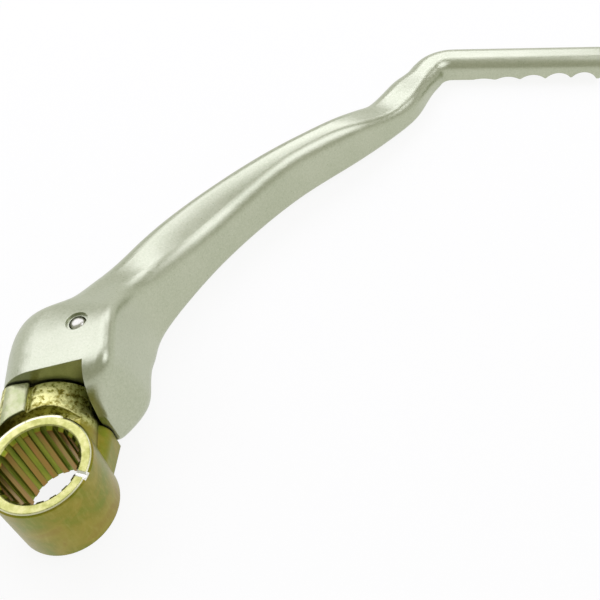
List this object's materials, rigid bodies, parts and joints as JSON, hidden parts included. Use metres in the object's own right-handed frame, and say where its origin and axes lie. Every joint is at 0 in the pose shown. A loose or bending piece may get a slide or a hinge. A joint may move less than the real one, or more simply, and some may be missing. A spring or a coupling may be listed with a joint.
{
  "type": "kick start lever",
  "caption": "Folding kick start lever: a forged alloy arm with a scalloped foot peg swings on the stud of a splined steel boss, held by a ball detent and a retaining pin.",
  "frame": {"origin": "centre of the splined bore at the boss's back face, where it seats on the shaft's shoulder", "axes": "+X along the folded peg, +Y along the pivot stud from the boss into the lever, +Z along the bore, out of the ring face"},
  "size_m": [0.1974, 0.1757, 0.0307],
  "materials": {
    "yellow_zinc_steel": "yellow zinc plating",
    "satin_alloy": "satin, tumbled forging",
    "pin_steel": "bright",
    "ball_steel": "polished",
    "spring_steel": "drawn wire"
  },
  "bodies": {
    "boss": {"splined_boss": "yellow_zinc_steel", "detent_spring": "spring_steel"},
    "lever": {"lever": "satin_alloy", "retaining_pin": "pin_steel"},
    "ball": {"detent_ball": "ball_steel"}
  },
  "joints": [
    {"name": "lever_swing", "type": "hinge", "parent": "boss", "child": "lever", "pos_m": [0, 0.0334, 0.0134], "axis": [0, -1, 0], "range_deg": [0, 90]},
    {"name": "ball_slide", "type": "slide", "parent": "boss", "child": "ball", "axis": [0, 1, 0], "range_m": [0, 0.0005], "stiffness_N_per_m": 400, "springref_m": 0.0005}
  ]
}
